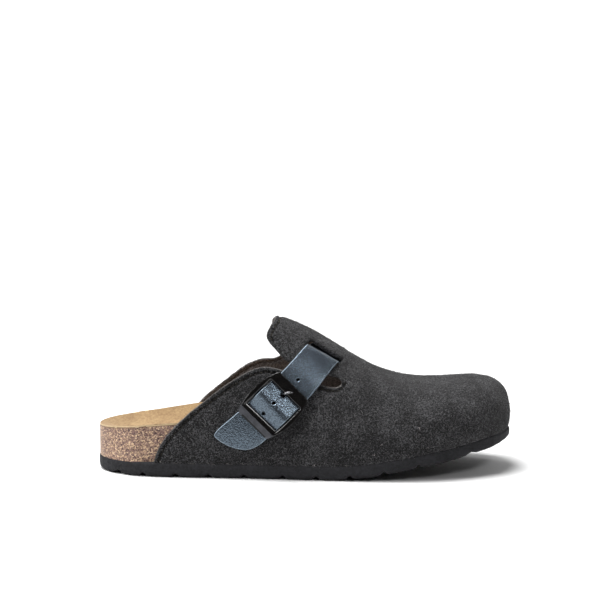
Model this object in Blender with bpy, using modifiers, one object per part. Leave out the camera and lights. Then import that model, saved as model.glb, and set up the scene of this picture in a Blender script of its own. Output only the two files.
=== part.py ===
"""Felt clog for the right foot: outsole, cork footbed, insole, felt upper, strap and buckle.

The toe points to +X, the outer (lateral) side faces -Y, and the sole stands on Z = 0.
The design is worked out in millimetres, and the meshes are written in metres.
"""

import math
from collections import namedtuple

import bmesh
import bpy
import numpy as np
from mathutils import Matrix, Vector

# Driving dimensions, in millimetres
LENGTH = 262.0
BALL_WIDTH = 98.0
INSTEP_HEIGHT = 97.5
HEEL_HEIGHT = 33.0
OUTSOLE = 9.0
FELT = 2.7
SUEDE = 1.2
STRAP_WIDTH = 24.2
STRAP_LEATHER = 2.0
GAP = 0.3
METRES = 0.001

LATERAL, MEDIAL = -1, 1

# Outline of the outsole from above: along is a share of the length from the heel,
# lateral and medial are shares of the ball width out from the centre line, in percent.
PlanRow = namedtuple("PlanRow", "along lateral medial")
PLAN = [
    PlanRow(2.4, 17.5, 17.5),
    PlanRow(9.0, 31.0, 30.0),
    PlanRow(18.0, 36.0, 34.5),
    PlanRow(29.0, 38.5, 34.5),
    PlanRow(42.0, 42.0, 35.0),
    PlanRow(56.0, 47.0, 41.0),
    PlanRow(69.0, 49.5, 48.0),
    PlanRow(80.0, 47.0, 49.5),
    PlanRow(90.0, 36.5, 44.5),
    PlanRow(96.3, 20.0, 34.0),
]
TIP_HEEL = PlanRow(0.0, 0.0, 0.0)
TIP_TOE = PlanRow(99.4, -10.0, 10.0)
OUTLINE_STEPS = 24

# The felt's ridge over the foot, in percent of the instep height, and how square
# the section below it is: 2 is an ellipse, more is boxier. The rows before the
# tongue at 43 percent only carry the form that the collar is cut from.
RidgeRow = namedtuple("RidgeRow", "along ridge")
RIDGE = [
    RidgeRow(8.0, 104.0),
    RidgeRow(30.0, 104.0),
    RidgeRow(43.0, 100.2),
    RidgeRow(50.0, 92.9),
    RidgeRow(57.0, 82.0),
    RidgeRow(63.0, 71.5),
    RidgeRow(69.0, 63.3),
    RidgeRow(75.0, 58.7),
    RidgeRow(81.0, 57.3),
    RidgeRow(87.4, 58.9),
]
SquareRow = namedtuple("SquareRow", "along square bulge")
SQUARE = [
    SquareRow(8.0, 2.0, 0.6),
    SquareRow(43.0, 2.0, 0.9),
    SquareRow(57.0, 2.05, 1.2),
    SquareRow(69.0, 2.35, 1.6),
    SquareRow(81.0, 2.7, 1.8),
    SquareRow(92.0, 3.3, 1.8),
    SquareRow(99.4, 4.0, 1.8),
]
SPINE_BENDS = 67.0
SPINE_ENDS = 87.4
SPINE_MEDIAL = 8.0
SPINE_DRIFTS = (46.0, 90.0)
BELLY_RISE = 0.6

# Thickness of the outsole, in percent of its thickness at the heel.
SoleRow = namedtuple("SoleRow", "along thick")
SOLE = [
    SoleRow(0.0, 100.0),
    SoleRow(58.0, 100.0),
    SoleRow(75.0, 94.0),
    SoleRow(88.0, 91.0),
    SoleRow(95.0, 87.0),
    SoleRow(99.4, 60.0),
]

# Top of the footbed, in percent of the heel height: along the middle and at both rims.
BedRow = namedtuple("BedRow", "along middle lateral medial")
FOOTBED = [
    BedRow(0.0, 68.0, 82.0, 82.0),
    BedRow(8.0, 65.0, 90.0, 86.0),
    BedRow(18.0, 65.0, 96.5, 97.5),
    BedRow(28.0, 70.0, 103.0, 109.0),
    BedRow(40.0, 75.0, 100.0, 115.0),
    BedRow(50.0, 71.0, 87.0, 100.0),
    BedRow(62.0, 61.0, 74.0, 81.0),
    BedRow(75.0, 63.0, 75.0, 77.0),
    BedRow(87.0, 76.0, 88.0, 89.0),
    BedRow(99.4, 92.0, 101.0, 101.0),
]

# Collar edges seen from the side: along and height, both in percent.
EdgeRow = namedtuple("EdgeRow", "along height")
LATERAL_EDGE = [
    EdgeRow(14.0, 4.0),
    EdgeRow(14.2, 11.4),
    EdgeRow(15.9, 22.3),
    EdgeRow(20.1, 35.7),
    EdgeRow(26.1, 49.3),
    EdgeRow(33.5, 63.4),
    EdgeRow(39.2, 70.4),
    EdgeRow(42.5, 70.2),
    EdgeRow(46.0, 67.4),
    EdgeRow(53.6, 60.2),
    EdgeRow(56.8, 58.8),
    EdgeRow(58.2, 59.2),
    EdgeRow(58.3, 61.2),
    EdgeRow(56.9, 63.4),
    EdgeRow(53.6, 65.8),
    EdgeRow(46.0, 73.5),
    EdgeRow(42.2, 82.7),
    EdgeRow(40.7, 88.9),
    EdgeRow(41.6, 94.3),
    EdgeRow(43.0, 99.4),
    EdgeRow(43.2, 112.0),
]
MEDIAL_EDGE = [
    EdgeRow(14.0, 4.0),
    EdgeRow(14.6, 10.0),
    EdgeRow(18.5, 20.0),
    EdgeRow(25.0, 40.4),
    EdgeRow(30.0, 51.8),
    EdgeRow(35.8, 63.6),
    EdgeRow(39.6, 67.4),
    EdgeRow(42.6, 67.8),
    EdgeRow(44.5, 71.2),
    EdgeRow(44.6, 76.5),
    EdgeRow(43.4, 84.0),
    EdgeRow(42.2, 91.0),
    EdgeRow(42.0, 96.0),
    EdgeRow(43.0, 99.4),
    EdgeRow(43.2, 112.0),
]

# Middle line of the strap over the felt, from its hidden end through the slot to its tip.
# turn is the angle up the section, in degrees: 0 at the sole and 90 on the ridge.
StrapRow = namedtuple("StrapRow", "along turn")
STRAP_LINE = [
    StrapRow(57.2, 84.0),
    StrapRow(55.0, 66.9),
    StrapRow(50.9, 46.4),
    StrapRow(47.4, 34.8),
    StrapRow(42.8, 24.5),
    StrapRow(37.8, 16.0),
    StrapRow(34.8, 11.5),
    StrapRow(31.9, 7.2),
    StrapRow(27.5, 0.9),
]
SLOT_ROW = 1

# How far the strap's underside lies above the felt at a reach from the slot
LiftRow = namedtuple("LiftRow", "reach lift")
STRAP_LIFT = [
    LiftRow(-16.0, -5.9),
    LiftRow(-2.2, -5.9),
    LiftRow(6.8, 0.3),
    LiftRow(40.5, 0.3),
    LiftRow(52.4, 3.8),
    LiftRow(62.0, 0.3),
    LiftRow(99.0, 0.3),
]
STRAP_START = -14.0
STRAP_END = 92.0
STRAP_HOLES = [29.8, 50.3, 59.5]
HOLE_RADIUS = 1.1
HOLES_ASIDE = 0.8

# The strap's rear and front edge at a reach, in percent of half its width. At the tip
# the rear edge runs on and the front edge rounds off early.
SideRow = namedtuple("SideRow", "reach rear front")
STRAP_SIDES = [
    SideRow(-14.0, 91.0, -91.0),
    SideRow(8.0, 91.0, -91.0),
    SideRow(34.0, 97.0, -97.0),
    SideRow(46.0, 100.0, -100.0),
    SideRow(68.0, 100.0, -100.0),
    SideRow(74.6, 100.0, -97.5),
    SideRow(78.9, 100.0, -89.0),
    SideRow(82.5, 100.0, -73.0),
    SideRow(84.7, 100.0, -54.5),
    SideRow(88.1, 99.0, -16.5),
    SideRow(90.7, 94.0, 29.0),
    SideRow(91.7, 90.0, 59.5),
    SideRow(92.0, 85.0, 75.0),
]
STRAP_TIP = 24.0
STRAP_RINGS = 37
TIP_RINGS = 13

# The slot that the strap comes out of, from its upper to its lower lip. It crosses the
# strap at a slant, and the strap follows that slant until the given reaches.
SLOT_FROM, SLOT_TO = -2.6, 6.7
SLOT_BELOW, SLOT_ABOVE = -8.0, 6.0
SLOT_SKEW = 0.2
SKEW_FADES = (8.0, 30.0)
SLOT_EASE = 0.7
SLOT_STEPS = 9

# Buckle, in millimetres from the middle of its frame: along the strap and up from the felt
BUCKLE_AT = 52.0
BUCKLE_SKEW = 0.04
FRAME_LENGTH = 34.6
FRAME_WIDTH = 24.8
FRAME_BOW = 3.9
FRAME_CORNER = 1.2
FRAME_PLATE = 1.9
FRAME_LOW, FRAME_LIFT = 0.8, 1.9
FRAME_TOP = FRAME_LOW + FRAME_LIFT + FRAME_PLATE
FRAME_DIP = 3.0
EDGE_ROUNDING = 0.35

# Each bar has a flat face and falls from its crest to the window.
UPPER_BAR, UPPER_FACE = 6.8, 6.0
LOWER_BAR, LOWER_FACE = 7.6, 4.8
CREST_WIDTH = 26.6
CREST_BOW = 0.3
CREST_CORNER = 1.0
WINDOW_WIDTH = 25.4
WINDOW_FALL = 0.8
WINDOW_CORNER = 0.8
CORNER_TUCK = 0.3
BAR_POINTS, RAIL_POINTS = 5, 9

PIVOT_RADIUS = 0.9
PIVOT_UP = 1.5
PIVOT_SEAT = 1.0

PRONG_HOLE = -9.2
PRONG_HOLE_RADIUS = 1.6
PRONG_SIDES = 8
ProngRow = namedtuple("ProngRow", "reach aside up width thick")
PRONG = [
    ProngRow(1.3, 0.8, 0.7, 3.0, 0.7),
    ProngRow(1.6, 0.8, 1.5, 3.0, 0.8),
    ProngRow(1.1, 0.8, 2.7, 3.0, 0.8),
    ProngRow(0.0, 0.8, 3.1, 3.0, 0.8),
    ProngRow(-1.1, 0.8, 2.7, 3.0, 0.8),
    ProngRow(-1.8, 0.8, 1.5, 2.6, 0.9),
    ProngRow(-3.5, 0.8, 0.9, 2.2, 0.9),
    ProngRow(-7.6, 0.8, 0.7, 1.9, 0.8),
    ProngRow(-9.0, 0.8, 1.5, 1.8, 1.0),
    ProngRow(-9.4, 0.7, 3.4, 1.8, 1.1),
    ProngRow(-10.2, 0.3, 5.2, 1.9, 1.2),
    ProngRow(-11.9, -0.9, 6.0, 1.9, 1.2),
    ProngRow(-14.2, -2.7, 5.7, 1.5, 1.0),
]

# Centres of the grooves under the outsole, in percent of the length
GROOVES = [4.4, 10.4, 18.8, 27.0, 35.9, 45.6, 53.8, 61.7, 69.7, 77.9, 89.1]
GROOVE_RADIUS = 1.9
GROOVE_WAVE = 3.5
GROOVE_WAVELENGTH = 36.0
GROOVE_REACH = 0.62 * BALL_WIDTH
GROOVE_STEPS = 20


def along(percent):
    return (percent / 100 - 0.5) * LENGTH


def across(percent):
    return percent / 100 * BALL_WIDTH


def high(percent):
    return percent / 100 * INSTEP_HEIGHT


def smooth_path(points, closed=False, steps=10):
    """Points on a centripetal Catmull-Rom curve through the given points."""
    known = [np.array(p, float) for p in points]
    if closed:
        known = [known[-1], *known, known[0], known[1]]
    else:
        known = [2 * known[0] - known[1], *known, 2 * known[-1] - known[-2]]
    path = []
    for p0, p1, p2, p3 in zip(known, known[1:], known[2:], known[3:]):
        t1 = np.linalg.norm(p1 - p0) ** 0.5
        t2 = t1 + np.linalg.norm(p2 - p1) ** 0.5
        t3 = t2 + np.linalg.norm(p3 - p2) ** 0.5
        for t in np.linspace(t1, t2, steps, endpoint=False):
            a1 = (t1 - t) / t1 * p0 + t / t1 * p1
            a2 = (t2 - t) / (t2 - t1) * p1 + (t - t1) / (t2 - t1) * p2
            a3 = (t3 - t) / (t3 - t2) * p2 + (t - t2) / (t3 - t2) * p3
            b1 = (t2 - t) / t2 * a1 + t / t2 * a2
            b2 = (t3 - t) / (t3 - t1) * a2 + (t - t1) / (t3 - t1) * a3
            path.append((t2 - t) / (t2 - t1) * b1 + (t - t1) / (t2 - t1) * b2)
    if not closed:
        path.append(known[-2])
    return np.array(path)


def column(table, name, scale=1.0):
    """A smooth function of x that runs through one column of a table."""
    path = smooth_path([(along(row.along), getattr(row, name) * scale) for row in table])
    return lambda x: float(np.interp(x, path[:, 0], path[:, 1]))


def outline_sides():
    """The outsole's edge as two functions of x, for its lateral and medial side."""
    rows = [TIP_HEEL, *PLAN, TIP_TOE]
    lateral = [(along(r.along), -across(r.lateral)) for r in rows]
    medial = [(along(r.along), across(r.medial)) for r in PLAN]
    path = smooth_path(lateral + medial[::-1], closed=True, steps=OUTLINE_STEPS)
    toe = int(np.argmax(path[:, 0]))
    heel = int(np.argmin(path[: toe + 1, 0]))
    one = path[heel : toe + 1]
    other = np.vstack([path[toe:], path[: heel + 1]])[::-1]
    return {
        LATERAL: lambda x: float(np.interp(x, one[:, 0], one[:, 1])),
        MEDIAL: lambda x: float(np.interp(x, other[:, 0], other[:, 1])),
    }, (one[0][0], one[-1][0])


EDGE_Y, (HEEL_X, TOE_X) = outline_sides()
ridge_z = column(RIDGE, "ridge", INSTEP_HEIGHT / 100)
square_of = column(SQUARE, "square")
bulge_of = column(SQUARE, "bulge")
sole_thickness = column(SOLE, "thick", OUTSOLE / 100)
bed_middle = column(FOOTBED, "middle", HEEL_HEIGHT / 100)
bed_rim = {
    LATERAL: column(FOOTBED, "lateral", HEEL_HEIGHT / 100),
    MEDIAL: column(FOOTBED, "medial", HEEL_HEIGHT / 100),
}


def eased(x, start, end):
    """0 before start, 1 after end, and smooth between them."""
    t = min(1.0, max(0.0, (x - start) / (end - start)))
    return t * t * (3 - 2 * t)


# Outsole: flat from the heel to the ball, then bent up into the toe spring

SPRING_STARTS = along(54.1)
SPRING_BEND = 36.0
SPRING_SLOPE = 0.19
HEEL_BEVEL, HEEL_BEVEL_RUN = 1.2, 9.0


def toe_spring(x):
    past = max(0.0, x - SPRING_STARTS)
    if past < SPRING_BEND:
        return SPRING_SLOPE * past**2 / (2 * SPRING_BEND)
    return SPRING_SLOPE * (past - SPRING_BEND / 2)


def sole_bottom(x):
    heel = HEEL_BEVEL * (1 - eased(x, HEEL_X, HEEL_X + HEEL_BEVEL_RUN))
    return toe_spring(x) + heel


def sole_top(x):
    return toe_spring(x) + sole_thickness(x)


def sole_seat(x):
    """What stands on the outsole starts a gap above it."""
    return sole_top(x) + GAP


# Loops around the sole: lateral side from heel to toe, then back along the medial side

STATIONS = 30
SPINE_FROM_HEEL = 27.0
SPINE_FROM_TOE = 34.0


def sole_loop(inset):
    """Edge points of the outsole moved inwards, with the middle point each one faces.

    inset is a function of x. Each item is (x, y, side, middle x, middle y).
    """
    edge = []
    for i in range(2 * STATIONS):
        k = i if i <= STATIONS else 2 * STATIONS - i
        side = LATERAL if i <= STATIONS else MEDIAL
        x = HEEL_X + (TOE_X - HEEL_X) * (1 - math.cos(math.pi * k / STATIONS)) / 2
        edge.append((x, EDGE_Y[side](x), side))
    loop = []
    for i, (x, y, side) in enumerate(edge):
        before, after = edge[i - 1], edge[(i + 1) % len(edge)]
        tangent = Vector((after[0] - before[0], after[1] - before[1])).normalized()
        d = inset(x)
        middle_x = min(max(x, HEEL_X + SPINE_FROM_HEEL), TOE_X - SPINE_FROM_TOE)
        middle_y = (EDGE_Y[LATERAL](middle_x) + EDGE_Y[MEDIAL](middle_x)) / 2
        loop.append((x - tangent.y * d, y + tangent.x * d, side, middle_x, middle_y))
    return loop


def ring_of(loop, share, height):
    """A loop moved a share of the way to its middle, at height(x, side, share)."""
    ring = []
    for x, y, side, middle_x, middle_y in loop:
        px = x + (middle_x - x) * share
        py = y + (middle_y - y) * share
        ring.append((px, py, height(px, side, share)))
    return ring


# Felt upper: meridians that rise from the sole's edge to the ridge

UPPER_REAR = along(9.0)
UPPER_INSET = 0.4


def spine_x(base_x):
    """The ridge point over a base point: level with it, but drawn back in the toe."""
    bend, end = along(SPINE_BENDS), along(SPINE_ENDS)
    if base_x < bend:
        return base_x
    reach, span = base_x - bend, TOE_X - bend
    return base_x - (span - (end - bend)) * (reach / span) ** 2


def spine_y(x):
    return SPINE_MEDIAL * eased(x, *map(along, SPINE_DRIFTS))


def shell(base_x, turn, side):
    """Point on the felt's outer face. turn is 0 at the sole and a quarter turn on the ridge."""
    base = Vector((base_x, EDGE_Y[side](base_x) - side * UPPER_INSET, sole_seat(base_x)))
    top_x = spine_x(base_x)
    top = Vector((top_x, spine_y(top_x), ridge_z(top_x)))
    power = 2 / square_of(base_x)
    out = max(0.0, math.cos(turn)) ** power
    rise = max(0.0, math.sin(turn)) ** power
    flat = Vector((base.x - top.x, base.y - top.y))
    reach = flat.length
    belly = bulge_of(base_x) * math.sin(math.pi * rise**BELLY_RISE)
    flat = flat * (out + belly / reach) if reach else flat
    return Vector((top.x + flat.x, top.y + flat.y, base.z + (top.z - base.z) * rise))


def shell_normal(base_x, turn, side):
    step_x, step_turn = 0.5, 0.01
    low_turn = min(turn, math.pi / 2 - 2 * step_turn)
    forward = shell(base_x + step_x, turn, side) - shell(base_x - step_x, turn, side)
    upward = shell(base_x, low_turn + step_turn, side) - shell(base_x, low_turn - step_turn, side)
    return (forward.cross(upward) * -side).normalized()


def resampled(points, count):
    """The same line with points at equal distances along it."""
    points = np.array(points)
    steps = np.linalg.norm(np.diff(points, axis=0), axis=1)
    reach = np.concatenate([[0], np.cumsum(steps)])
    wanted = np.linspace(0, reach[-1], count)
    return np.stack([np.interp(wanted, reach, points[:, i]) for i in range(3)], axis=1)


UPPER_COLUMNS = 27
UPPER_ROWS = 14
MERIDIAN_STEPS = 90


def meridian(base_x, side):
    turns = np.linspace(0, math.pi / 2, MERIDIAN_STEPS) ** 2 / (math.pi / 2)
    return resampled([shell(base_x, t, side) for t in turns], UPPER_ROWS + 1)


# Strap: a ribbon laid over the felt, measured by its reach from the slot


def strap_line():
    """Reach, base x and turn at close steps along the strap's middle line."""
    steps = 16
    path = smooth_path([(along(r.along), r.turn) for r in STRAP_LINE], steps=steps)
    points = np.array([shell(x, math.radians(turn), LATERAL) for x, turn in path])
    lengths = np.linalg.norm(np.diff(points, axis=0), axis=1)
    reach = np.concatenate([[0], np.cumsum(lengths)])
    return reach - reach[steps * SLOT_ROW], path


STRAP_REACH, STRAP_PATH = strap_line()


def strap_place(reach):
    base_x = float(np.interp(reach, STRAP_REACH, STRAP_PATH[:, 0]))
    turn = math.radians(float(np.interp(reach, STRAP_REACH, STRAP_PATH[:, 1])))
    return base_x, turn


def strap_axes(reach):
    """Middle point on the felt, and the strap's directions: onwards, sideways and out."""
    base_x, turn = strap_place(reach)
    ahead, behind = strap_place(reach + 1.0), strap_place(reach - 1.0)
    onwards = (shell(*ahead, LATERAL) - shell(*behind, LATERAL)).normalized()
    out = shell_normal(base_x, turn, LATERAL)
    sideways = onwards.cross(out).normalized()
    return shell(base_x, turn, LATERAL), onwards, sideways, out


def on_felt(reach, sideways_by, up):
    """A point above the felt that follows its curve on both sides of the strap's middle."""
    middle, _, sideways, _ = strap_axes(reach)
    near = middle + sideways * sideways_by
    base_y, low = EDGE_Y[LATERAL](near.x) + UPPER_INSET, sole_seat(near.x)
    top_y, top = spine_y(near.x), ridge_z(near.x)
    half_power = square_of(near.x) / 2
    rise = min(1.0, max(0.0, (near.z - low) / (top - low)))
    belly = bulge_of(near.x) * math.sin(math.pi * rise**BELLY_RISE)
    out = max(0.0, (top_y - near.y - belly) / (top_y - base_y))
    turn = math.atan2(rise**half_power, out**half_power)
    return shell(near.x, turn, LATERAL) + shell_normal(near.x, turn, LATERAL) * up


BUCKLE_SIDEWAYS = strap_axes(BUCKLE_AT)[2]


def on_plate(reach, sideways_by, up):
    """A point of the stiff buckle: straight across the strap, curved along it."""
    middle, _, sideways, out = strap_axes(BUCKLE_AT + reach + BUCKLE_SKEW * sideways_by)
    across_strap = Vector((BUCKLE_SIDEWAYS.x, sideways.y, BUCKLE_SIDEWAYS.z))
    return middle + across_strap * sideways_by + out * up


def strap_lift(reach, sideways_by=0.0):
    """Smooth steps between the rows of the lift table, skewed like the slot near it."""
    at = reach - SLOT_SKEW * sideways_by * (1 - eased(reach, *SKEW_FADES))
    for row, after in zip(STRAP_LIFT, STRAP_LIFT[1:]):
        if at <= after.reach:
            return row.lift + (after.lift - row.lift) * eased(at, row.reach, after.reach)
    return STRAP_LIFT[-1].lift


# Building meshes

SHARP_ANGLE = math.radians(40.0)
ROUND_SEGMENTS = 12
WELD = 1e-4


def collection(name):
    made = bpy.data.collections.new(name)
    bpy.context.scene.collection.children.link(made)
    return made


def add_object(name, mesh_builder, into, material=None):
    mesh = bpy.data.meshes.new(name)
    bmesh.ops.scale(mesh_builder, vec=(METRES,) * 3, verts=mesh_builder.verts)
    mesh_builder.to_mesh(mesh)
    mesh_builder.free()
    made = bpy.data.objects.new(name, mesh)
    into.objects.link(made)
    if material:
        mesh.materials.append(material)
        mesh.shade_smooth()
        mesh.set_sharp_from_angle(angle=SHARP_ANGLE)
    return made


def lofted(rings, wrap=False, zipped=False):
    """Faces between closed rings of equal length. The end rings are filled, unless the
    rings wrap round or each end is zipped along a line."""
    bm = bmesh.new()
    rows = [[bm.verts.new(p) for p in ring] for ring in rings]
    pairs = list(zip(rows, rows[1:] + rows[:1])) if wrap else list(zip(rows, rows[1:]))
    for lower, upper in pairs:
        for i in range(len(lower)):
            j = (i + 1) % len(lower)
            bm.faces.new((lower[i], lower[j], upper[j], upper[i]))
    if not wrap and not zipped:
        bm.faces.new(rows[0])
        bm.faces.new(rows[-1])
    if zipped:
        bmesh.ops.remove_doubles(bm, verts=bm.verts, dist=WELD)
    bmesh.ops.recalc_face_normals(bm, faces=bm.faces)
    return bm


def tube(points, radius, into):
    """A round tube through points: a bevelled curve made a mesh, its end caps welded on."""
    curve = bpy.data.curves.new("tube", "CURVE")
    curve.dimensions = "3D"
    curve.bevel_depth = radius
    curve.bevel_resolution = 2
    curve.use_fill_caps = True
    spline = curve.splines.new("POLY")
    spline.points.add(len(points) - 1)
    for point, place in zip(spline.points, points):
        point.co = (*place, 1.0)
    guide = bpy.data.objects.new("tube", curve)
    into.objects.link(guide)
    depsgraph = bpy.context.evaluated_depsgraph_get()
    bm = bmesh.new()
    bm.from_mesh(bpy.data.meshes.new_from_object(guide.evaluated_get(depsgraph)))
    bmesh.ops.remove_doubles(bm, verts=bm.verts, dist=WELD)
    bmesh.ops.recalc_face_normals(bm, faces=bm.faces)
    bpy.data.objects.remove(guide)
    return bm


def cylinder(middle, axis, radius, length):
    bm = bmesh.new()
    turned = Vector((0, 0, 1)).rotation_difference(axis).to_matrix().to_4x4()
    bmesh.ops.create_cone(
        bm,
        cap_ends=True,
        segments=ROUND_SEGMENTS,
        radius1=radius,
        radius2=radius,
        depth=length,
        matrix=Matrix.Translation(middle) @ turned,
    )
    return bm


def prism(outline, low_y, high_y):
    """A flat outline of (x, z) points drawn out along Y."""
    bm = bmesh.new()
    face = bm.faces.new([bm.verts.new((x, low_y, z)) for x, z in outline])
    drawn = bmesh.ops.extrude_face_region(bm, geom=[face])
    moved = [v for v in drawn["geom"] if isinstance(v, bmesh.types.BMVert)]
    bmesh.ops.translate(bm, verts=moved, vec=(0, high_y - low_y, 0))
    bmesh.ops.recalc_face_normals(bm, faces=bm.faces)
    return bm


def add_cutter(name, builder, into):
    cutter = add_object(name, builder, into)
    cutter.hide_render = True
    cutter.display_type = "WIRE"
    return cutter


def cut(target, cutter):
    boolean = target.modifiers.new(cutter.name, "BOOLEAN")
    boolean.operation = "DIFFERENCE"
    boolean.solver = "EXACT"
    boolean.object = cutter


def material(name, colour, roughness, metallic=0.0):
    made = bpy.data.materials.new(name)
    made.use_nodes = True
    shader = made.node_tree.nodes["Principled BSDF"]
    shader.inputs["Base Color"].default_value = (*colour, 1.0)
    shader.inputs["Roughness"].default_value = roughness
    shader.inputs["Metallic"].default_value = metallic
    made.diffuse_color = (*colour, 1.0)
    return made


# Sole, footbed and insole

SOLE_TUCK = 1.7
SOLE_SOFT = 0.5
SOLE_SOFT_AT, SOLE_SIDE_FROM, SOLE_SIDE_TO = 0.1, 0.27, 0.88
FOOTBED_LEDGE = 0.5
FELT_CLEARANCE = 0.4
FOOTBED_UNDER_FELT = UPPER_INSET + FELT + GAP + FELT_CLEARANCE
FELT_COVERS = (8.5, 13.8)
FOOTBED_LEAN = 1.4
RIM_LEANS = (10.0, 20.0)
INSOLE_INSET = 0.1
DISH_POWER, SLANT_POWER = 2.2, 1.1
BED_RINGS = [0.0, 0.1, 0.26, 0.5, 0.76, 1.0]


def footbed_inset(x):
    covered = eased(x, *map(along, FELT_COVERS))
    return FOOTBED_LEDGE + (FOOTBED_UNDER_FELT - FOOTBED_LEDGE) * covered


def rim_inset(x):
    return footbed_inset(x) + FOOTBED_LEAN * eased(x, *map(along, RIM_LEANS))


def bed_height(raised):
    """Height of the footbed's dished top, raised by a layer."""

    def height(x, side, share):
        rim, middle = bed_rim[side](x), bed_middle(x)
        centre = (bed_rim[LATERAL](x) + bed_rim[MEDIAL](x)) / 2 - middle
        dish = (1 - share) ** DISH_POWER
        slant = (rim - middle - centre) * (1 - share) ** SLANT_POWER
        return middle + centre * dish + slant + raised

    return height


def build_outsole(parts, cutters):
    edge, tucked = sole_loop(lambda x: 0.0), sole_loop(lambda x: SOLE_TUCK)
    softened = sole_loop(lambda x: SOLE_SOFT)
    foot = sole_loop(lambda x: max(SOLE_SOFT, footbed_inset(x)) + SOLE_SOFT)

    def level(portion):
        return lambda x, side, share: sole_bottom(x) + (sole_top(x) - sole_bottom(x)) * portion

    rings = [
        ring_of(tucked, 1.0, level(0.0)),
        ring_of(tucked, 0.5, level(0.0)),
        ring_of(tucked, 0.0, level(0.0)),
        ring_of(softened, 0.0, level(SOLE_SOFT_AT)),
        ring_of(edge, 0.0, level(SOLE_SIDE_FROM)),
        ring_of(edge, 0.0, level(SOLE_SIDE_TO)),
        ring_of(softened, 0.0, level(1.0)),
        ring_of(foot, 0.0, level(1.0)),
        ring_of(foot, 0.5, level(1.0)),
        ring_of(foot, 1.0, level(1.0)),
    ]
    rubber = material("moulded_eva", (0.016, 0.016, 0.017), 0.75)
    outsole = add_object("outsole", lofted(rings, zipped=True), parts, rubber)
    for number, share in enumerate(GROOVES):
        cut(outsole, groove_cutter(f"groove_{number}", along(share), cutters))
    return outsole


def groove_cutter(name, middle_x, cutters):
    """A round channel that waves across the sole."""
    points = []
    for y in np.linspace(-GROOVE_REACH, GROOVE_REACH, GROOVE_STEPS + 1):
        x = middle_x + GROOVE_WAVE * math.sin(2 * math.pi * y / GROOVE_WAVELENGTH)
        points.append((x, y, sole_bottom(x)))
    return add_cutter(name, tube(points, GROOVE_RADIUS, cutters), cutters)


def build_footbed(parts):
    foot, rim = sole_loop(footbed_inset), sole_loop(rim_inset)

    def seat(x, side, share):
        return sole_seat(x)

    def between(portion):
        return [tuple(a + (b - a) * portion for a, b in zip(f, r)) for f, r in zip(low, high_ring)]

    low = ring_of(foot, 0.0, seat)
    high_ring = ring_of(rim, 0.0, bed_height(0.0))
    rings = [ring_of(foot, share, seat) for share in (1.0, 0.5)]
    rings += [low, between(0.5), high_ring]
    rings += [ring_of(rim, share, bed_height(0.0)) for share in BED_RINGS[1:]]
    cork = material("pressed_cork", (0.30, 0.17, 0.095), 0.8)
    return add_object("footbed", lofted(rings, zipped=True), parts, cork)


def build_insole(parts):
    rim = sole_loop(lambda x: rim_inset(x) + INSOLE_INSET)
    under = [ring_of(rim, share, bed_height(GAP)) for share in reversed(BED_RINGS)]
    over = [ring_of(rim, share, bed_height(GAP + SUEDE)) for share in BED_RINGS]
    suede = material("tan_suede", (0.50, 0.32, 0.145), 0.95)
    return add_object("insole", lofted(under + over, zipped=True), parts, suede)


# Upper

COLLAR_OVERLAP = 0.5
COLLAR_STEPS = 3
PAST_HEEL, PAST_RIDGE = -8.0, 125.0
TIP_MERGE = 0.02


def collar_cutter(name, edge, low_y, high_y, cutters):
    """Everything behind and above a collar edge, between two planes across the shoe."""
    path = smooth_path([(along(row.along), high(row.height)) for row in edge], steps=COLLAR_STEPS)
    behind, above = along(PAST_HEEL), high(PAST_RIDGE)
    corners = [(path[-1][0], above), (behind, above), (behind, path[0][1])]
    return add_cutter(name, prism([*map(tuple, path), *corners], low_y, high_y), cutters)


def upper_surface():
    """The felt's outer face as an open sheet, from the lateral heel round the toe."""
    bm = bmesh.new()
    shares = [math.sin(math.pi / 2 * k / UPPER_COLUMNS) for k in range(UPPER_COLUMNS + 1)]
    bases = [UPPER_REAR + (TOE_X - TIP_MERGE - UPPER_REAR) * s for s in shares]
    columns = [meridian(x, LATERAL) for x in bases]
    columns += [meridian(x, MEDIAL) for x in reversed(bases[:-1])]
    rows = [[bm.verts.new(p) for p in line] for line in columns]
    for one, other in zip(rows, rows[1:]):
        for j in range(UPPER_ROWS):
            bm.faces.new((one[j], other[j], other[j + 1], one[j + 1]))
    bmesh.ops.remove_doubles(bm, verts=bm.verts, dist=TIP_MERGE)
    bmesh.ops.recalc_face_normals(bm, faces=bm.faces)
    return bm


def build_upper(parts, cutters):
    felt = material("black_felt", (0.028, 0.027, 0.027), 1.0)
    upper = add_object("upper", upper_surface(), parts, felt)
    wall = upper.modifiers.new("felt wall", "SOLIDIFY")
    wall.thickness = FELT * METRES
    wall.offset = -1.0
    wall.use_even_offset = True
    past = BALL_WIDTH
    cut(upper, collar_cutter("lateral_collar", LATERAL_EDGE, -past, COLLAR_OVERLAP, cutters))
    cut(upper, collar_cutter("medial_collar", MEDIAL_EDGE, -COLLAR_OVERLAP, past, cutters))
    cut(upper, slot_cutter(cutters))
    return upper


# Strap and buckle


def slot_cutter(cutters):
    half = STRAP_SIDES[0].rear / 100 * STRAP_WIDTH / 2 + SLOT_EASE
    lips = [SLOT_FROM, SLOT_TO, SLOT_TO, SLOT_FROM]
    heights = [SLOT_BELOW, SLOT_BELOW, SLOT_ABOVE, SLOT_ABOVE]
    rings = []
    for w in np.linspace(-half, half, SLOT_STEPS):
        rings.append([on_felt(u + SLOT_SKEW * w, w, h) for u, h in zip(lips, heights)])
    return add_cutter("strap_slot", lofted(rings), cutters)


def hole_cutter(name, reach, radius, cutters):
    _, _, _, out = strap_axes(reach)
    middle = on_felt(reach, HOLES_ASIDE, strap_lift(reach) + STRAP_LEATHER / 2)
    return add_cutter(name, cylinder(middle, out, radius, 3 * STRAP_LEATHER), cutters)


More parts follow.
